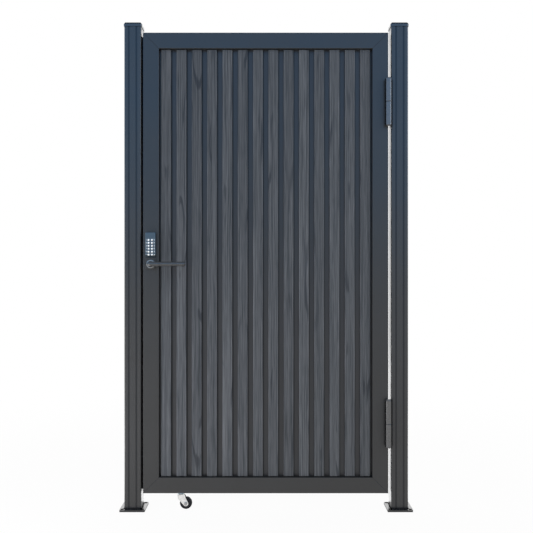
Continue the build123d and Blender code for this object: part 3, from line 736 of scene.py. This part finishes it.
def screw_head(shape, place, radius):
    """Adds a low round head with a cross recess."""
    arm, half = CROSS_ARM * radius, CROSS_HALF * radius
    turns = [2 * math.pi * step / ROUND_STEPS for step in range(ROUND_STEPS)]
    circle = [(math.cos(turn), math.sin(turn)) for turn in turns]
    cross = []
    for quarter in range(4):
        along, aside = math.cos(quarter * math.pi / 2), math.sin(quarter * math.pi / 2)
        for x, y in ((arm, -half), (arm, half), (half, half)):
            cross.append((x * along - y * aside, x * aside + y * along))

    def loop(points, scale, height):
        return [shape.verts.new(place @ Vector((x * scale, y * scale, height)))
                for x, y in points]

    def wall(low, high):
        for step in range(len(low)):
            shape.faces.new((low[step], low[step - 1], high[step - 1], high[step]))

    foot = loop(circle, radius, -HEAD_SUNK)
    shoulder = loop(circle, radius, SHOULDER_SHARE * HEAD_PROUD)
    rim = loop(circle, radius * RIM_SHARE, HEAD_PROUD)
    lip = loop(cross, 1.0, HEAD_PROUD)
    bed = loop(cross, CROSS_TAPER, CROSS_FLOOR)
    wall(foot, shoulder)
    wall(shoulder, rim)
    wall(lip, bed)
    shape.faces.new(foot)
    shape.faces.new(bed)
    sides = [(ring[step], ring[step - 1]) for ring in (rim, lip) for step in range(len(ring))]
    edges = [shape.edges.get(side) or shape.edges.new(side) for side in sides]
    bmesh.ops.triangle_fill(shape, use_beauty=True, use_dissolve=False, edges=edges)


def screws(name, points, facing, radius, body, finish):
    """One piece of screw heads that all face one way."""
    shape = bmesh.new()
    for point in points:
        screw_head(shape, Matrix.Translation(point) @ facing, radius)
    add_piece(name, shape, finish, body)


def end_points(low, high, x):
    """Two points near the ends of an upright plate."""
    middle = (low + high) / 2
    reach = (high.z - low.z) / 2 - EDGE_SCREW_INSET
    return [(x, middle.y, middle.z + side * reach) for side in (-1, 1)]


def lock_screws():
    """Screws of the strike, the lock's forend and the inside plate."""
    low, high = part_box("strike_plate")
    points = end_points(low, high, high.x)
    screws("strike_screws", points, FACING_HINGE, EDGE_SCREW, "posts", shade_dark_steel)
    low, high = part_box("lock_case")
    points = end_points(low, high, low.x)
    screws("forend_screws", points, FACING_LATCH, EDGE_SCREW, "leaf", steel)
    low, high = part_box("inside_plate")
    middle_x = (low.x + high.x) / 2
    points = [(middle_x, leaf_rear + INSIDE_PLATE, high.z - drop) for drop in PLATE_SCREW_DROPS]
    screws("plate_screws", points, FACING_IN, PLATE_SCREW, "leaf", steel)


def hinge_screws():
    """Four screws in each hinge half's plate, the post's below the seam and the leaf's above."""
    post_points, leaf_points = [], []
    for level in ("lower", "upper"):
        low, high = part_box(level + "_hinge_pin")
        seam_z = (low.z + high.z) / 2
        for rise in HINGE_SCREW_RISES:
            for side in HINGE_SCREW_SIDES:
                y = leaf_mid + side
                post_points.append((post_low.x - HINGE_PLATE, y, seam_z - rise))
                leaf_points.append((leaf_right + HINGE_PLATE, y, seam_z + rise))
    screws("hinge_post_screws", post_points, FACING_LATCH, HINGE_SCREW, "posts", steel)
    screws("hinge_leaf_screws", leaf_points, FACING_HINGE, HINGE_SCREW, "leaf", steel)


lock_screws()
hinge_screws()
keypad_buttons()
keypad_figures()

# Floor, background and lights
WHITE = (1.0, 1.0, 1.0)
WORLD_LIGHT = 0.80
FLOOR_MATT = (0.86, 0.86, 0.86)
FLOOR_SIZE = 40.0
FLOOR_CELLS = 8
FLOOR_DROP = 0.0005
FLOOR_FADE = (1.0, 3.0)  # distances over which the floor turns all white to the eye
FLOOR_NEAR_WHITE = 0.95
FOOT_SHADE = 0.002
SEEN_BY = ("Is Camera Ray", "Is Glossy Ray", "Is Transmission Ray")


def white_to_eye(shade, plain, white, share):
    """Mixes a shader with plain white for camera, glossy and transmission rays."""
    rays = shade.add("ShaderNodeLightPath").outputs
    camera, glossy, through = (Wire(shade, rays[name]) for name in SEEN_BY)
    seen = shade.math("MAXIMUM", shade.math("MAXIMUM", camera, glossy), through)
    return shade.wire("ShaderNodeMixShader", {0: seen * share, 1: plain, 2: white})


def build_world():
    """Soft even light, white to the eye."""
    world = bpy.data.worlds.new("studio")
    shade = Tree(world)
    shade.tree.nodes.clear()
    soft = shade.wire("ShaderNodeBackground", {"Color": WHITE, "Strength": WORLD_LIGHT})
    white = shade.wire("ShaderNodeBackground", {"Color": WHITE, "Strength": 1.0})
    shade.add("ShaderNodeOutputWorld", {"Surface": white_to_eye(shade, soft, white, 1.0)})
    bpy.context.scene.world = world


def stage_mesh(name, shape, paint):
    """Makes a mesh for the surroundings, tied to no body of the part."""
    mesh = bpy.data.meshes.new(name)
    shape.to_mesh(mesh)
    shape.free()
    mesh.materials.append(paint)
    piece = bpy.data.objects.new(name, mesh)
    bpy.context.scene.collection.objects.link(piece)
    return piece


def build_floor():
    """Pale floor, near white to the eye: it keeps the gate's shadow and is dark under the feet."""
    paint = bpy.data.materials.new("floor_paint")
    shade = Tree(paint)
    shade.tree.nodes.clear()
    x, y, _ = shade.axes(shade.object_place())
    away = shade.reach(x - gate_middle, y)
    share = shade.span(away, *FLOOR_FADE, FLOOR_NEAR_WHITE, 1.0, smooth=True)
    for centre in post_centres:
        off = shade.math("MAXIMUM", abs(x - centre), abs(y))
        share = share * shade.span(off, foot_half - FOOT_SHADE, foot_half)
    matt = shade.wire("ShaderNodeBsdfDiffuse", {"Color": FLOOR_MATT})
    glow = shade.wire("ShaderNodeEmission", {"Strength": 1.0})
    shade.add("ShaderNodeOutputMaterial", {"Surface": white_to_eye(shade, matt, glow, share)})
    shape = bmesh.new()
    cells = {"x_segments": FLOOR_CELLS, "y_segments": FLOOR_CELLS}
    bmesh.ops.create_grid(shape, size=FLOOR_SIZE, **cells)
    stage_mesh("floor", shape, paint).location.z = -FLOOR_DROP


def panel_lamp(name, place, target, size, radiance, matt=True, gloss=True):
    """A soft rectangular lamp that faces a point; its colour is its radiance."""
    lamp = bpy.data.lights.new(name, "AREA")
    lamp.shape = "RECTANGLE"
    lamp.size, lamp.size_y = size
    peak = max(radiance)
    lamp.color = [value / peak for value in radiance]
    lamp.energy = peak * math.pi * size[0] * size[1]
    lit = bpy.data.objects.new(name, lamp)
    facing = (Vector(target) - Vector(place)).to_track_quat("-Z", "Y")
    lit.matrix_world = Matrix.Translation(place) @ facing.to_matrix().to_4x4()
    lit.visible_camera = False
    lit.visible_diffuse = matt
    lit.visible_glossy = gloss
    bpy.context.scene.collection.objects.link(lit)


# Sky: colours, the heights above its foot over which they change, and the dome that shows them,
# which is open behind the gate up to the band from which it closes all round
SKY_LOW = (0.70, 1.12, 1.64)
SKY_BLUE = (0.42, 1.06, 2.04)
SKY_HIGH = (0.50, 0.60, 0.74)
SKY_FOOT = 1.31
SKY_REACH = 4.2
SKY_RISE = 5.5
BLUE_END = 1.75
HIGH_FADE = (2.3, 3.5)
SKY_ROUNDS, SKY_BANDS = 48, 14
SKY_LIFT = math.radians(89.0)
SKY_SPREAD = math.radians(115.0)
SKY_CLOSED_BAND = 9


def sky_dome():
    """Sky that only the gloss sees: pale at its foot, deep blue above that and grey overhead."""
    shape = bmesh.new()
    rings = []
    for level in range(SKY_BANDS + 1):
        lift = SKY_LIFT * level / SKY_BANDS
        out, height = SKY_REACH * math.cos(lift), SKY_FOOT + SKY_RISE * math.sin(lift)
        turns = [2 * math.pi * step / SKY_ROUNDS - math.pi for step in range(SKY_ROUNDS)]
        rings.append([shape.verts.new((EYE.x + out * math.sin(turn), -out * math.cos(turn), height))
                      for turn in turns])
    for level, (low, high) in enumerate(zip(rings, rings[1:])):
        for step in range(SKY_ROUNDS):
            turn = abs(2 * math.pi * (step + 0.5) / SKY_ROUNDS - math.pi)
            if turn < SKY_SPREAD or level >= SKY_CLOSED_BAND:
                after = (step + 1) % SKY_ROUNDS
                shape.faces.new((low[step], low[after], high[after], high[step]))
    paint = bpy.data.materials.new("sky_paint")
    shade = Tree(paint)
    shade.tree.nodes.clear()
    _, _, z = shade.axes(shade.object_place())
    colour = shade.mix(shade.span(z, SKY_FOOT, SKY_FOOT + BLUE_END), SKY_LOW, SKY_BLUE)
    overhead = shade.span(z, *(SKY_FOOT + height for height in HIGH_FADE))
    glow = shade.wire("ShaderNodeEmission", {"Color": shade.mix(overhead, colour, SKY_HIGH)})
    shade.add("ShaderNodeOutputMaterial", {"Surface": glow})
    dome = stage_mesh("sky_dome", shape, paint)
    dome.visible_camera = False
    dome.visible_diffuse = False
    dome.visible_shadow = False


def build_lamps():
    """Panels that light the gate's matt surfaces, and panels that only its gloss shows."""
    panel_lamp("back_panel", place=(EYE.x, 3.6, 2.25), target=(EYE.x, 0.0, 2.25),
               size=(3.6, 4.5), radiance=(1.8, 1.8, 1.8), matt=False)
    panel_lamp("ground_panel", place=(EYE.x, 1.95, 0.01), target=(EYE.x, 1.95, 1.0),
               size=(3.6, 3.8), radiance=(2.4, 2.4, 2.4), matt=False)
    panel_lamp("left_panel", place=(-1.75, -0.95, 0.15), target=(-0.95, 0.0, 0.15),
               size=(1.0, 0.7), radiance=(5.4, 5.5, 6.0), gloss=False)
    panel_lamp("low_left_panel", place=(-3.0, 0.3, 0.02), target=(-3.0, 0.3, 1.0),
               size=(2.6, 1.8), radiance=(2.3, 2.3, 2.3), matt=False)
    panel_lamp("side_panel", place=(-4.0, -0.3, 0.7), target=(-1.0, 0.0, 0.4),
               size=(1.6, 1.2), radiance=(2.8, 2.8, 2.8), matt=False)
    panel_lamp("right_panel", place=(2.2, -1.6, 3.0), target=(-0.3, 0.0, 1.3),
               size=(1.4, 1.6), radiance=(1.6, 1.6, 1.6), gloss=False)
    panel_lamp("right_gloss", place=(3.0, -0.9, 2.4), target=(0.0, 0.0, 1.6),
               size=(1.2, 2.0), radiance=(5.0, 5.0, 5.0), matt=False)


def add_camera():
    """Looks level at the gate from where the photograph was taken."""
    camera = bpy.data.cameras.new("camera")
    camera.sensor_fit = "HORIZONTAL"
    camera.sensor_width = SENSOR_WIDTH
    camera.lens = LENS
    viewer = bpy.data.objects.new("camera", camera)
    viewer.location = EYE
    viewer.rotation_euler = (math.pi / 2, 0.0, 0.0)
    bpy.context.scene.collection.objects.link(viewer)
    bpy.context.scene.camera = viewer


build_world()
build_floor()
sky_dome()
build_lamps()
add_camera()
bpy.context.scene.view_settings.view_transform = "Standard"
